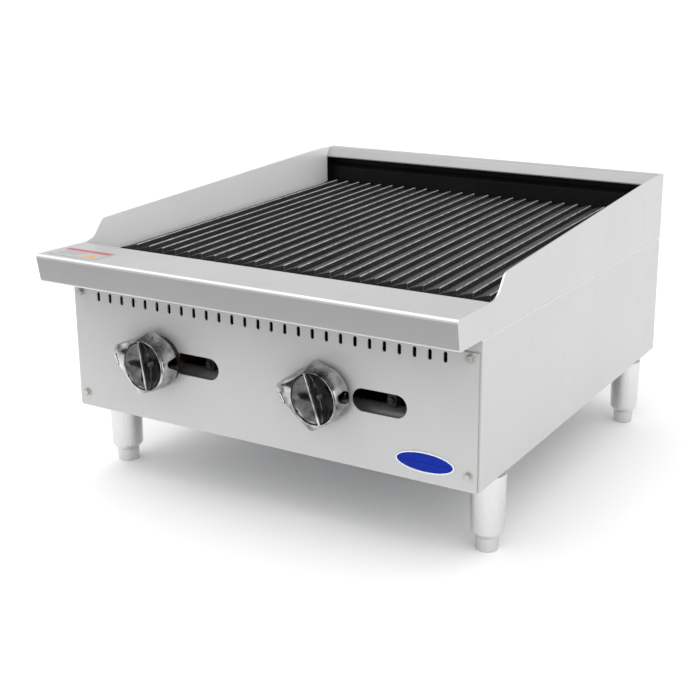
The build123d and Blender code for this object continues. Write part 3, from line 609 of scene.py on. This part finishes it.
@dataclass(frozen=True)
class LabelFilm(Finish):
    """White film with a red band along its rear edge, an amber triangle and pale bars for small print."""

    centre: Tuple[float, float] = (-0.256, -0.333)
    red: Colour = (0.34, 0.004, 0.020)
    amber: Colour = (0.50, 0.24, 0.005)
    grey: Colour = (0.06, 0.06, 0.06)

    def decorate(self, sheet: NodeSheet, place: Socket, colour: Socket) -> Socket:
        """Print the fields on the film.

        Args:
            sheet: The material's sheet.
            place: Object coordinates.
            colour: The colour so far.

        Returns:
            The result.
        """
        split = sheet.add("ShaderNodeSeparateXYZ")
        sheet.feed(split.inputs[0], place)
        across = sheet.maths("SUBTRACT", split.outputs[0], self.centre[0])
        along = sheet.maths("SUBTRACT", split.outputs[1], self.centre[1])
        band = self._field(sheet, across, along, (-0.037, 0.0385), (0.0085, 0.0180))
        colour = sheet.mix(band, colour, self.red)
        for k, (start, end) in enumerate(((-0.030, 0.008), (-0.034, 0.004), (-0.030, 0.000))):
            top = 0.0040 - 0.0062 * k
            bar = self._field(sheet, across, along, (start, end), (top - 0.0018, top))
            colour = sheet.mix(sheet.maths("MULTIPLY", bar, 0.75), colour, self.grey)
        lean = sheet.maths("ABSOLUTE", sheet.maths("SUBTRACT", across, 0.0225))
        reach = sheet.maths("MULTIPLY_ADD", lean, 1.25, along)
        roof = sheet.maths("LESS_THAN", reach, 0.0020)
        foot = sheet.maths("GREATER_THAN", along, -0.0135)
        return sheet.mix(sheet.maths("MULTIPLY", roof, foot), colour, self.amber)

    @staticmethod
    def _field(
        sheet: NodeSheet, across: Socket, along: Socket, xs: Tuple[float, float], ys: Tuple[float, float]
    ) -> Socket:
        """Return a mask that is one inside a rectangle.

        Args:
            sheet: The material's sheet.
            across: Distance across the label.
            along: Distance along it.
            xs: Limits across.
            ys: Limits along.

        Returns:
            The result.
        """
        sides = [
            sheet.maths("GREATER_THAN", across, xs[0]), sheet.maths("LESS_THAN", across, xs[1]),
            sheet.maths("GREATER_THAN", along, ys[0]), sheet.maths("LESS_THAN", along, ys[1]),
        ]
        mask = sides[0]
        for side in sides[1:]:
            mask = sheet.maths("MULTIPLY", mask, side)
        return mask


LABEL_FILM = LabelFilm(
    "label_film", (0.33, 0.33, 0.34), (0.29, 0.29, 0.30), metallic=0.0, roughness=0.32, cloud_scale=80.0,
)


@dataclass(frozen=True)
class GrateIron(Finish):
    """Seasoned cast iron, lighter along the ridge of every bar, as wear with a painted highlight."""

    pitch: float = 0.0225
    offset: float = 0.0015
    ridge_share: float = 0.945
    ridge_wear_highlight_tone: Colour = (0.46, 0.46, 0.46)

    def decorate(self, sheet: NodeSheet, place: Socket, colour: Socket) -> Socket:
        """Lighten the ridges with wear and a painted highlight.

        Args:
            sheet: The material's sheet.
            place: Object coordinates.
            colour: The colour so far.

        Returns:
            The colour with its lightened ridges.
        """
        split = sheet.add("ShaderNodeSeparateXYZ")
        sheet.feed(split.inputs[0], place)
        looks = sheet.add("ShaderNodeSeparateXYZ")
        sheet.feed(looks.inputs[0], sheet.add("ShaderNodeNewGeometry").outputs["Normal"])
        start = sheet.maths("MULTIPLY", sheet.maths("SIGN", split.outputs[0]), self.offset)
        bars = sheet.maths("DIVIDE", sheet.maths("SUBTRACT", split.outputs[0], start), self.pitch)
        across = sheet.maths("SUBTRACT", bars, sheet.maths("FLOOR", bars))
        # Lighter ridges on faces that look up: wear together with a painted highlight.
        ridge = sheet.maths("GREATER_THAN", across, self.ridge_share)
        upward = sheet.maths("GREATER_THAN", looks.outputs[2], 0.3)
        ridge_wear_highlight_breaks = sheet.ramp(sheet.noise(place, 70.0, 5.0, 0.7), 0.35, 0.62, 0.25, 1.0)
        mask = sheet.maths("MULTIPLY", sheet.maths("MULTIPLY", ridge, upward), ridge_wear_highlight_breaks)
        return sheet.mix(mask, colour, self.ridge_wear_highlight_tone)


GRATE_IRON = GrateIron(
    "grate_iron", (0.012, 0.012, 0.012), (0.045, 0.045, 0.045), metallic=0.0, roughness=0.46,
    roughness_spread=0.22, cloud_scale=16.0, cast_grain=700.0, cast_height=0.0006, specular=0.3,
    edge_wear_highlight_tone=(0.22, 0.22, 0.22), edge_width=0.0012, grain=GrainAxis.ALONG_Y, side_grain=GrainAxis.ALONG_Y,
    streak_tone=0.9,
)
BADGE_RIM = Finish(
    "badge_rim", (0.86, 0.87, 0.88), (0.78, 0.79, 0.80), metallic=0.4, roughness=0.22, cloud_scale=120.0,
)
BADGE_ENAMEL = Finish(
    "badge_enamel", (0.000, 0.020, 0.32), (0.000, 0.016, 0.26), metallic=0.1, roughness=0.3, cloud_scale=90.0,
    specular=0.15,
)

DRESS: Dict[Finishes, Tuple[str, ...]] = {
    Finishes.SHELL_STEEL: ("top_shell",),
    Finishes.CAP_STEEL: ("rear_cap",),
    Finishes.PANEL_STEEL: ("control_panel", "inner_apron", "side_panel_left", "side_panel_right"),
    Finishes.GALVANISED: ("bottom_panel", "back_panel", "drip_pan", "leg_plates"),
    Finishes.LEG_STEEL: ("leg_front_left", "leg_front_right", "leg_rear_left", "leg_rear_right"),
    Finishes.FOOT_STEEL: ("foot_front_left", "foot_front_right", "foot_rear_left", "foot_rear_right"),
    Finishes.ZINC: (
        "panel_screws", "panel_washers", "back_screws", "leg_nuts", "air_shutter_left", "air_shutter_right",
        "pilot_tube_left", "pilot_tube_right", "pilot_tips", "valve_stem_left",
        "valve_stem_right",
    ),
    Finishes.LINER_BLACK: (
        "firebox_left", "firebox_right", "firebox_front", "firebox_rear", "burner_rest", "radiant_rail_front",
        "radiant_rail_rear", "rear_comb", "grate_rail_front", "grate_rail_rear",
    ),
    Finishes.RADIANT_STEEL: ("radiant_left", "radiant_right"),
    Finishes.BURNER_IRON: ("burner_left", "burner_right"),
    Finishes.PIPE_BLACK: ("manifold", "supply_pipe", "inlet_collar"),
    Finishes.BRASS: ("burner_valve_left", "burner_valve_right", "orifice_left", "orifice_right"),
    Finishes.VALVE_GREY: ("pilot_valve_left", "pilot_valve_right"),
    Finishes.BEZEL_BLACK: ("bezel_left", "bezel_right"),
    Finishes.SMOKY_CHROME: ("knob_left", "knob_right"),
}


def dress_frame(nodes: Dict[str, bpy.types.Object]) -> Dict[Finishes, bpy.types.Material]:
    """Give every node of the frame its finish.

    Args:
        nodes: The frame's objects by node name.

    Returns:
        The materials by finish.
    """
    made = {finish: finish.value.material() for finish in Finishes}
    for finish, names in DRESS.items():
        for name in names:
            slots = nodes[name].data.materials
            slots.clear()
            slots.append(made[finish])
        log.info("finish %s on %d pieces", finish.value.name, len(names))
    iron = GRATE_IRON.material()
    for side in SIDES:
        slots = nodes[f"grate_{side}"].data.materials
        slots.clear()
        slots.append(iron)
    log.info("finish %s on both grates", GRATE_IRON.name)
    return made


# --- modelled pieces ----------------------------------------------------------------
def deselect() -> None:
    """Leave edit mode and leave nothing selected."""
    if bpy.context.object and bpy.context.object.mode != "OBJECT":
        bpy.ops.object.mode_set(mode="OBJECT")
    bpy.ops.object.select_all(action="DESELECT")


def use(piece: bpy.types.Object) -> bpy.types.Object:
    """Make a piece the only selected and active one.

    Args:
        piece: The piece.

    Returns:
        The same piece.
    """
    deselect()
    piece.select_set(True)
    bpy.context.view_layer.objects.active = piece
    return piece


def named_new(name: str) -> bpy.types.Object:
    """Name the piece that was just added, and return it.

    Args:
        name: The name to use.

    Returns:
        The piece.
    """
    piece = bpy.context.object
    piece.name = name
    piece.data.name = name
    return piece


def apply_modifier(piece: bpy.types.Object, kind: str, **settings: object) -> None:
    """Add a modifier and apply it.

    Args:
        piece: The piece to change.
        kind: The modifier's type.
        **settings: Its properties by name.
    """
    use(piece)
    modifier = piece.modifiers.new(kind.lower(), kind)
    for name, value in settings.items():
        setattr(modifier, name, value)
    bpy.ops.object.modifier_apply(modifier=modifier.name)


def join(pieces: Sequence[bpy.types.Object]) -> bpy.types.Object:
    """Join pieces into the first one and return it.

    Args:
        pieces: The pieces to join.

    Returns:
        The piece.
    """
    use(pieces[0])
    for piece in pieces:
        piece.select_set(True)
    bpy.ops.object.join()
    return pieces[0]


def pick_faces(piece: bpy.types.Object, test: Callable[[bpy.types.MeshPolygon], bool]) -> None:
    """Select the faces that pass a test, and go to edit mode with them.

    Args:
        piece: The piece.
        test: Tells which faces are wanted.
    """
    use(piece)
    bpy.ops.object.mode_set(mode="EDIT")
    bpy.ops.mesh.select_mode(type="FACE")
    bpy.ops.mesh.select_all(action="DESELECT")
    bpy.ops.object.mode_set(mode="OBJECT")
    for face in piece.data.polygons:
        face.select = test(face)
    bpy.ops.object.mode_set(mode="EDIT")


def all_in_edit(piece: bpy.types.Object) -> None:
    """Go to edit mode with everything selected.

    Args:
        piece: The piece.
    """
    use(piece)
    bpy.ops.object.mode_set(mode="EDIT")
    bpy.ops.mesh.select_all(action="SELECT")


def settle(piece: bpy.types.Object, place: Matrix, smooth_angle: float = 32.0) -> bpy.types.Object:
    """Put a finished piece in place, with its place in its mesh, and smooth it.

    Args:
        piece: The piece, modelled about the origin.
        place: Where it goes.
        smooth_angle: Edges sharper than this, in degrees, stay sharp.

    Returns:
        The same piece.
    """
    use(piece)
    piece.matrix_world = place @ piece.matrix_world
    bpy.ops.object.transform_apply(location=True, rotation=True, scale=True)
    bpy.ops.object.shade_smooth_by_angle(angle=math.radians(smooth_angle))
    deselect()
    return piece


FACE_FRONT = Matrix.Rotation(math.radians(90), 4, "X")


@dataclass(frozen=True)
class Lobe:
    """One round corner of the knob: its reach from the stem and its radius, at the back and the shoulder."""

    angle: float
    reach: Tuple[float, float]
    radius: Tuple[float, float]


@dataclass
class Knob:
    """A teardrop knob: a hull round a few lobes, two scoops with a leaning fin between, and a pointer."""

    side: str
    centre_x: float
    turn: float
    back_y: float
    centre_z: float = 88.0
    depth: float = 0.0238
    shoulder: float = 0.0180
    lobes: Tuple[Lobe, ...] = (
        Lobe(0.0, (0.0, 0.0), (0.0365, 0.0350)),
        Lobe(182.0, (0.0450, 0.0455), (0.0120, 0.0110)),
        Lobe(112.0, (0.0300, 0.0265), (0.0110, 0.0100)),
        Lobe(-97.0, (0.0290, 0.0325), (0.0110, 0.0105)),
    )
    rim_radius: float = 0.0330
    scoop_size: Point = (0.0305, 0.0325, 0.0125)
    scoop_rise: float = 0.0012
    scoop_round: float = 0.0012
    fin_lean: float = 22.0
    fin_half: float = 0.0021
    edge_round: float = 0.0014
    pointer_place: Tuple[float, float] = (-0.0452, -0.0100)
    pointer_turn: float = -56.0

    def build(self, made: Dict[Finishes, bpy.types.Material]) -> None:
        """Model the knob and its pointer, and let them ride the turning body.

        Args:
            made: Every finish's material.
        """
        body = self._hull()
        body.data.materials.append(made[Finishes.SMOKY_CHROME])
        body.data.materials.append(made[Finishes.GRIP_CHROME])
        for half in (-1, 1):
            self._scoop(body, half)
        apply_modifier(
            body, "BEVEL", width=self.edge_round, segments=3, limit_method="ANGLE",
            angle_limit=math.radians(30),
        )
        turned = Matrix.Rotation(math.radians(self.turn), 4, "Z")
        stem = Matrix.Translation(frame_point(self.centre_x, self.back_y, self.centre_z))
        place = stem @ FACE_FRONT @ turned
        bars = [
            (self._pointer_bar(body, 0.0150, 0.0040, 0.0003, "border"), made[Finishes.BEZEL_BLACK]),
            (self._pointer_bar(body, 0.0132, 0.0022, 0.0006, "bar"), made[Finishes.CHROME]),
        ]
        settle(body, place, 35.0)
        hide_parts(f"knob_{self.side}")
        for piece, material in bars:
            piece.data.materials.append(material)
            settle(piece, place)
            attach(piece, f"knob_{self.side}_turning")
        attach(body, f"knob_{self.side}_turning")
        log.info("knob %s with pointer", self.side)

    def _hull(self) -> bpy.types.Object:
        """Model the outline: the lobes and the scoops' rim under one hull.

        Returns:
            The piece.
        """
        parts = [self._lobe(lobe) for lobe in self.lobes]
        deselect()
        bpy.ops.mesh.primitive_circle_add(vertices=96, radius=self.rim_radius, location=(0, 0, self.depth))
        parts.append(bpy.context.object)
        body = join(parts)
        body.name = f"knob_{self.side}_body"
        body.data.name = body.name
        all_in_edit(body)
        bpy.ops.mesh.convex_hull()
        bpy.ops.mesh.dissolve_limited(angle_limit=math.radians(0.4))
        bpy.ops.mesh.normals_make_consistent(inside=False)
        bpy.ops.object.mode_set(mode="OBJECT")
        return body

    def _lobe(self, lobe: Lobe) -> bpy.types.Object:
        """Model one lobe: a cone whose front end is moved outwards or inwards.

        Args:
            lobe: Its place and size.

        Returns:
            The lobe.
        """
        way = Vector((math.cos(math.radians(lobe.angle)), math.sin(math.radians(lobe.angle)), 0))
        deselect()
        bpy.ops.mesh.primitive_cone_add(
            vertices=64, radius1=lobe.radius[0], radius2=lobe.radius[1], depth=self.shoulder,
            location=way * lobe.reach[0] + Vector((0, 0, self.shoulder / 2)),
        )
        cone = bpy.context.object
        pick_faces(cone, lambda face: face.normal.z > 0.9)
        bpy.ops.transform.translate(value=way * (lobe.reach[1] - lobe.reach[0]))
        bpy.ops.object.mode_set(mode="OBJECT")
        bpy.ops.object.transform_apply(location=True, rotation=True, scale=True)
        return cone

    def _scoop(self, body: bpy.types.Object, half: int) -> None:
        """Hollow one side of the grip.

        Args:
            body: The knob's body.
            half: -1 for the tip side, 1 for the round side.
        """
        lean = math.radians(self.fin_lean)
        deselect()
        bpy.ops.mesh.primitive_uv_sphere_add(
            segments=72, ring_count=36, radius=1, location=(0, 0, self.depth + self.scoop_rise),
            scale=self.scoop_size, rotation=(0, 0, lean),
        )
        cutter = named_new("scoop")
        for material in body.data.materials:
            cutter.data.materials.append(material)
        # The scoop faces take the grip finish, which is painted shade and painted dark reflection.
        cutter.active_material_index = 1
        across = Vector((math.cos(lean), math.sin(lean), 0)) * half
        all_in_edit(cutter)
        bpy.ops.mesh.bisect(plane_co=across * self.fin_half, plane_no=across, use_fill=True, clear_inner=True)
        bpy.ops.mesh.select_all(action="SELECT")
        bpy.ops.object.material_slot_assign()
        bpy.ops.object.mode_set(mode="OBJECT")
        apply_modifier(
            cutter, "BEVEL", width=self.scoop_round, segments=2, limit_method="ANGLE",
            angle_limit=math.radians(60),
        )
        apply_modifier(body, "BOOLEAN", object=cutter, operation="DIFFERENCE", solver="EXACT")
        bpy.data.objects.remove(cutter)

    def _pointer_bar(self, body: bpy.types.Object, length: float, width: float, rise: float,
                     name: str) -> bpy.types.Object:
        """Model a thin bar that lies on the tip's slope.

        Args:
            body: The knob's body, before it is placed.
            length: Along the bar.
            width: Across it.
            rise: Height above the slope.
            name: Ending of the piece's name.

        Returns:
            The bar.
        """
        above = Vector((*self.pointer_place, 2 * self.depth))
        hit, spot, normal, _ = body.ray_cast(above, Vector((0, 0, -1)))
        turn = math.radians(self.pointer_turn)
        along = Vector((math.cos(turn), math.sin(turn), 0))
        along = (along - normal * along.dot(normal)).normalized() if hit else along
        deselect()
        bpy.ops.mesh.primitive_cube_add(size=1, scale=(length, width, 2 * rise))
        bar = named_new(f"knob_{self.side}_pointer_{name}")
        bpy.ops.object.transform_apply(location=False, rotation=False, scale=True)
        apply_modifier(bar, "BEVEL", width=min(width, 2 * rise) * 0.25, segments=2)
        axes = Matrix((along, normal.cross(along), normal)).transposed().to_4x4()
        bar.matrix_world = Matrix.Translation(spot) @ axes
        return bar


@dataclass
class Badge:
    """A blank oval badge: a pale raised rim round a blue enamel field."""

    centre_x: float = 235.0
    centre_z: float = 25.5
    half_width: float = 0.0390
    half_height: float = 0.0130
    rise: float = 0.0016
    rim: float = 0.0016

    def build(self, rim_finish: bpy.types.Material, enamel: bpy.types.Material) -> None:
        """Model rim and field and fix them to the casing.

        Args:
            rim_finish: The rim's material.
            enamel: The field's material.
        """
        rim = self._oval("badge_rim", 0.0)
        pick_faces(rim, lambda face: face.normal.z > 0.9)
        bpy.ops.mesh.inset(thickness=self.rim, depth=0.0)
        bpy.ops.mesh.inset(thickness=0.0003, depth=-0.0007)
        bpy.ops.object.mode_set(mode="OBJECT")
        apply_modifier(
            rim, "BEVEL", width=0.0003, segments=2, limit_method="ANGLE", angle_limit=math.radians(40),
        )
        field_piece = self._oval("badge_field", self.rim + 0.0005)
        pick_faces(field_piece, lambda face: face.normal.z > 0.9)
        bpy.ops.mesh.inset(thickness=0.004, depth=0.0002)
        bpy.ops.object.mode_set(mode="OBJECT")
        place = Matrix.Translation(frame_point(self.centre_x, 0.0, self.centre_z)) @ FACE_FRONT
        for piece, material in ((rim, rim_finish), (field_piece, enamel)):
            piece.data.materials.append(material)
            settle(piece, place)
            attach(piece, "casing")
        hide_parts("badge")
        log.info("badge, blank")

    def _oval(self, name: str, margin: float) -> bpy.types.Object:
        """Model an oval disc, smaller by a margin.

        Args:
            name: The name to use.
            margin: How far inside the rim it ends.

        Returns:
            The piece.
        """
        deselect()
        bpy.ops.mesh.primitive_cylinder_add(
            vertices=96, radius=1, depth=self.rise, location=(0, 0, self.rise / 2),
            scale=(self.half_width - margin, self.half_height - margin, 1),
        )
        piece = named_new(name)
        bpy.ops.object.transform_apply(location=True, rotation=True, scale=True)
        return piece


@dataclass
class ShelfLabel:
    """A thin sticker on the shelf, with a coloured band and a coloured triangle."""

    centre: Point = (-256.0, -29.0, 222.5)
    size: Point = (0.081, 0.040, 0.0003)

    def build(self, film: bpy.types.Material) -> None:
        """Model the sticker and fix it to the casing.

        Args:
            film: Its printed finish.
        """
        deselect()
        bpy.ops.mesh.primitive_plane_add(size=1)
        sticker = named_new("shelf_label_film")
        sticker.scale = (self.size[0], self.size[1], 1)
        bpy.ops.object.transform_apply(location=False, rotation=False, scale=True)
        all_in_edit(sticker)
        bpy.ops.mesh.bevel(offset=0.0025, segments=5, affect="VERTICES")
        bpy.ops.mesh.extrude_region_move(TRANSFORM_OT_translate={"value": (0, 0, self.size[2])})
        bpy.ops.mesh.select_all(action="SELECT")
        bpy.ops.mesh.normals_make_consistent(inside=False)
        bpy.ops.object.mode_set(mode="OBJECT")
        sticker.data.materials.append(film)
        settle(sticker, Matrix.Translation(frame_point(*self.centre)))
        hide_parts("shelf_label")
        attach(sticker, "casing")
        log.info("shelf label, without lettering")


# --- studio -------------------------------------------------------------------------
@dataclass
class Studio:
    """Pale floor, even white surroundings, soft lamps and the dark cards that steel and chrome mirror."""

    floor_radius: float = 9.0
    floor_tone: Colour = (0.93, 0.93, 0.93)
    surround: float = 1.22

    def build(self) -> None:
        """Make the floor, the surroundings and the lamps."""
        self._floor()
        world = bpy.data.worlds.new("studio")
        bpy.context.scene.world = world
        bpy.context.scene.view_settings.view_transform = "Standard"
        world.use_nodes = True
        world.node_tree.nodes["Background"].inputs["Color"].default_value = (1, 1, 1, 1)
        world.node_tree.nodes["Background"].inputs["Strength"].default_value = self.surround
        self._lamp("key", (1.9, -1.4, 2.2), 1.6, 11.0)
        self._lamp("top", (-0.9, -0.9, 2.6), 1.2, 12.0)
        self._card("front_floor", (-0.45, -1.15, 0.004), (1.5, 0.75), (-0.45, -1.15, 2.0))
        self._card("front_left", (-1.3, -1.9, 0.55), (1.2, 0.9), (0, -0.3, 0.2))
        self._card("right", (1.4, -1.0, 0.25), (0.5, 0.35), (0, -0.3, 0.2))
        self._card("upper_right", (1.3, -0.8, 1.2), (0.6, 0.35), (0, -0.3, 0.2))

    def _floor(self) -> None:
        """Lay the floor."""
        deselect()
        bpy.ops.mesh.primitive_circle_add(vertices=64, radius=self.floor_radius, fill_type="NGON")
        floor = bpy.context.object
        floor.name = "studio_floor"
        finish = Finish("studio_floor", self.floor_tone, self.floor_tone, metallic=0.0, roughness=0.9)
        floor.data.materials.append(finish.material())

    @staticmethod
    def _card(name: str, place: Point, size: Tuple[float, float], aim: Point) -> None:
        """Stand a dark card that only bright metal mirrors.

        Args:
            name: The card's name.
            place: Its middle, in metres.
            size: Its width and height in metres.
            aim: The point that it faces.
        """
        deselect()
        bpy.ops.mesh.primitive_plane_add(size=1)
        card = named_new(f"studio_card_{name}")
        card.scale = (size[0], size[1], 1)
        card.location = place
        card.rotation_euler = (Vector(aim) - Vector(place)).to_track_quat("Z", "Y").to_euler()
        card.data.materials.append(
            Finish(
                "studio_card", (0.02, 0.02, 0.02), (0.03, 0.03, 0.03), metallic=0.0, roughness=0.9,
            ).material()
        )
        card.visible_camera = False
        card.visible_diffuse = False
        card.visible_shadow = False

    @staticmethod
    def _lamp(name: str, place: Point, size: float, power: float) -> None:
        """Hang a square soft lamp that points at the machine.

        Args:
            name: The lamp's name.
            place: Where it hangs, in metres.
            size: Its width in metres.
            power: Its power in watts.
        """
        data = bpy.data.lights.new(name, "AREA")
        data.size = size
        data.energy = power
        lamp = bpy.data.objects.new(name, data)
        bpy.context.scene.collection.objects.link(lamp)
        lamp.location = place
        lamp.rotation_euler = (Vector((0, 0, 0.2)) - Vector(place)).to_track_quat("-Z", "Y").to_euler()


@dataclass
class StudioCamera:
    """The camera, held by its turn round the machine, its tilt, its roll and its place."""

    turn: float = 27.26
    tilt: float = 14.29
    roll: float = 0.83
    place: Point = (0.8295, -1.3941, 0.6561)
    lens: float = 58.99
    shift: Tuple[float, float] = (-0.1467, -0.0941)

    def build(self) -> None:
        """Set up the camera and make it the scene's."""
        turn, tilt, roll = (math.radians(v) for v in (self.turn, self.tilt, self.roll))
        back = Vector((math.sin(turn) * math.cos(tilt), -math.cos(turn) * math.cos(tilt), math.sin(tilt)))
        right = Vector((math.cos(turn), math.sin(turn), 0))
        up = back.cross(right)
        level_right = right * math.cos(roll) + up * math.sin(roll)
        level_up = up * math.cos(roll) - right * math.sin(roll)
        data = bpy.data.cameras.new("camera")
        data.lens = self.lens
        data.shift_x, data.shift_y = self.shift
        data.clip_start = 0.05
        camera = bpy.data.objects.new("camera", data)
        bpy.context.scene.collection.objects.link(camera)
        axes = Matrix((level_right, level_up, back)).transposed().to_4x4()
        camera.matrix_world = Matrix.Translation(self.place) @ axes
        bpy.context.scene.camera = camera


def main() -> None:
    """Build the machine's looks, the studio and the camera."""
    logging.basicConfig(level=logging.INFO, format="%(name)s: %(message)s")
    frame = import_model()
    deselect()
    StudioCamera().build()
    materials = dress_frame(frame["nodes"])
    for side, centre_x, turn, back_y in (("left", -157.0, -14.0, -11.5), ("right", 99.0, -4.0, -6.5)):
        Knob(side, centre_x, turn, back_y).build(materials)
    Badge().build(BADGE_RIM.material(), BADGE_ENAMEL.material())
    ShelfLabel().build(LABEL_FILM.material())
    Studio().build()


if __name__ == "__main__":
    main()
